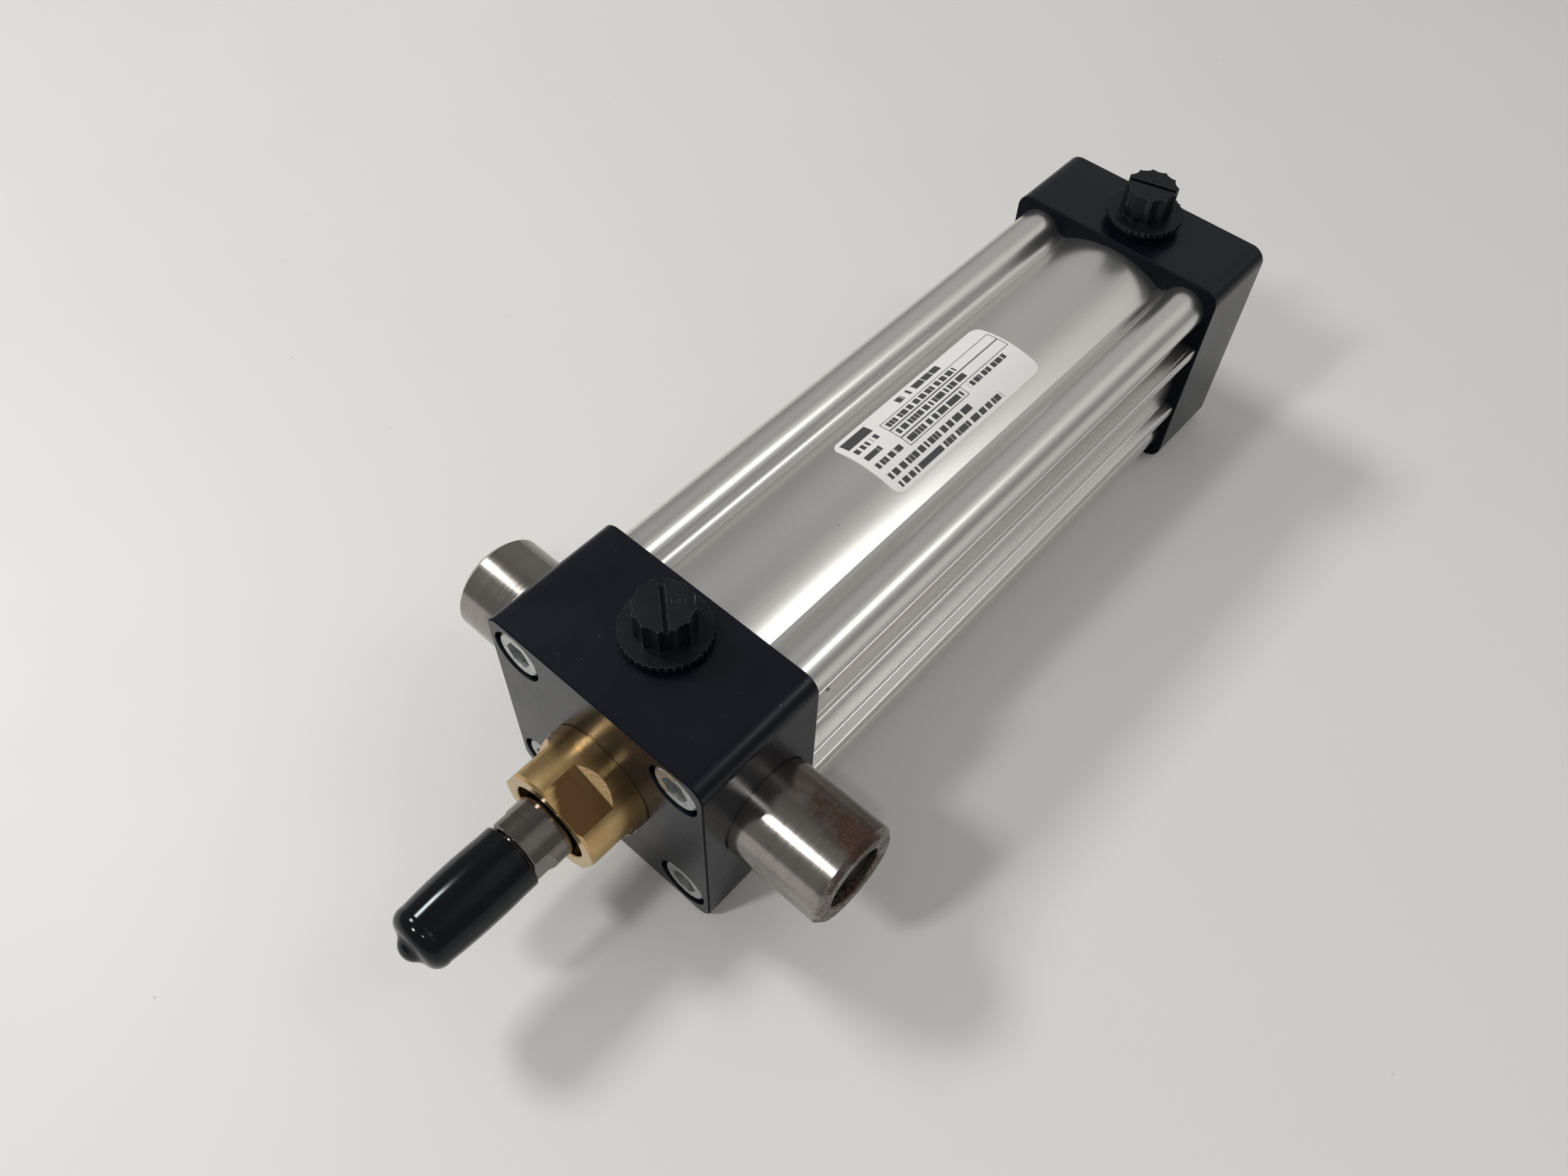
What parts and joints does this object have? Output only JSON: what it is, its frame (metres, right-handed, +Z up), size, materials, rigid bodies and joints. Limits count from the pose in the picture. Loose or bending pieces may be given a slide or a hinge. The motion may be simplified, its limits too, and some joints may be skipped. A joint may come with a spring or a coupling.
{
  "type": "pneumatic cylinder",
  "caption": "Double-acting pneumatic cylinder: square end blocks on a ribbed extruded barrel, trunnion pins at the head, and a rod that slides out of a wrench-flatted gland.",
  "frame": {"origin": "centre of the head's front face, on the rod's axis", "axes": "+X along the rod and out of the head, +Z up through the ports, +Y towards the right-hand trunnion pin"},
  "size_m": [0.2746, 0.1142, 0.0751],
  "materials": {
    "black_anodised": "satin black anodised",
    "clear_anodised": "clear anodised extrusion",
    "label_film": "semi-gloss film",
    "zinc_screws": "bright zinc plated",
    "ground_pin": "ground steel with light rust",
    "bronze": "turned bearing bronze",
    "ground_rod": "ground hard chrome",
    "piston_metal": "turned aluminium",
    "cushion_steel": "turned steel",
    "needle_steel": "turned steel",
    "seal_rubber": "matte black nitrile",
    "wiper_rubber": "dark brown urethane",
    "magnet_rubber": "bonded magnet",
    "band_plastic": "filled wear band",
    "plug_plastic": "moulded black polyethylene",
    "protector_vinyl": "dipped black vinyl"
  },
  "bodies": {
    "barrel": {"head": "black_anodised", "end_cap": "black_anodised", "barrel_profile": "clear_anodised", "label": "label_film", "head_screws": "zinc_screws", "cap_screws": "zinc_screws", "trunnion_pin_left": "ground_pin", "trunnion_pin_right": "ground_pin", "trunnion_screws": "zinc_screws", "rod_gland": "bronze", "rod_wiper": "wiper_rubber", "rod_seal": "seal_rubber", "gland_o_ring": "seal_rubber", "tube_seal_head": "seal_rubber", "tube_seal_cap": "seal_rubber", "cushion_seal_head": "seal_rubber", "cushion_seal_cap": "seal_rubber"},
    "piston_rings": {"piston_seal_front": "seal_rubber", "piston_seal_rear": "seal_rubber", "wear_band": "band_plastic"},
    "rod": {"piston_rod": "ground_rod", "piston_front": "piston_metal", "piston_rear": "piston_metal", "piston_magnet": "magnet_rubber", "cushion_sleeve": "cushion_steel", "cushion_spear": "cushion_steel", "piston_o_ring": "seal_rubber"},
    "protector": {"thread_protector": "protector_vinyl"},
    "plug_head": {"port_plug_head": "plug_plastic"},
    "plug_cap": {"port_plug_cap": "plug_plastic"},
    "needle_head": {"cushion_needle_head": "needle_steel", "needle_o_ring_head": "seal_rubber"},
    "needle_cap": {"cushion_needle_cap": "needle_steel", "needle_o_ring_cap": "seal_rubber"}
  },
  "joints": [
    {"name": "rod_slide", "type": "slide", "parent": "barrel", "child": "piston_rings", "axis": [1, 0, 0], "range_m": [0, 0.127]},
    {"name": "rod_turn", "type": "hinge", "parent": "piston_rings", "child": "rod", "pos_m": [0, 0, 0], "axis": [1, 0, 0], "continuous": true},
    {"name": "protector_pull", "type": "slide", "parent": "rod", "child": "protector", "axis": [1, 0, 0], "range_m": [0, 0.035]},
    {"name": "plug_head_lift", "type": "slide", "parent": "barrel", "child": "plug_head", "axis": [0, 0, 1], "range_m": [0, 0.012]},
    {"name": "plug_cap_lift", "type": "slide", "parent": "barrel", "child": "plug_cap", "axis": [0, 0, 1], "range_m": [0, 0.012]},
    {"name": "needle_head_turn", "type": "hinge", "parent": "barrel", "child": "needle_head", "pos_m": [-0.02792, 0, -0.03], "axis": [0, 0, -1], "range_deg": [0, 720]},
    {"name": "needle_cap_turn", "type": "hinge", "parent": "barrel", "child": "needle_cap", "pos_m": [-0.20067, 0, -0.03], "axis": [0, 0, -1], "range_deg": [0, 720]}
  ]
}
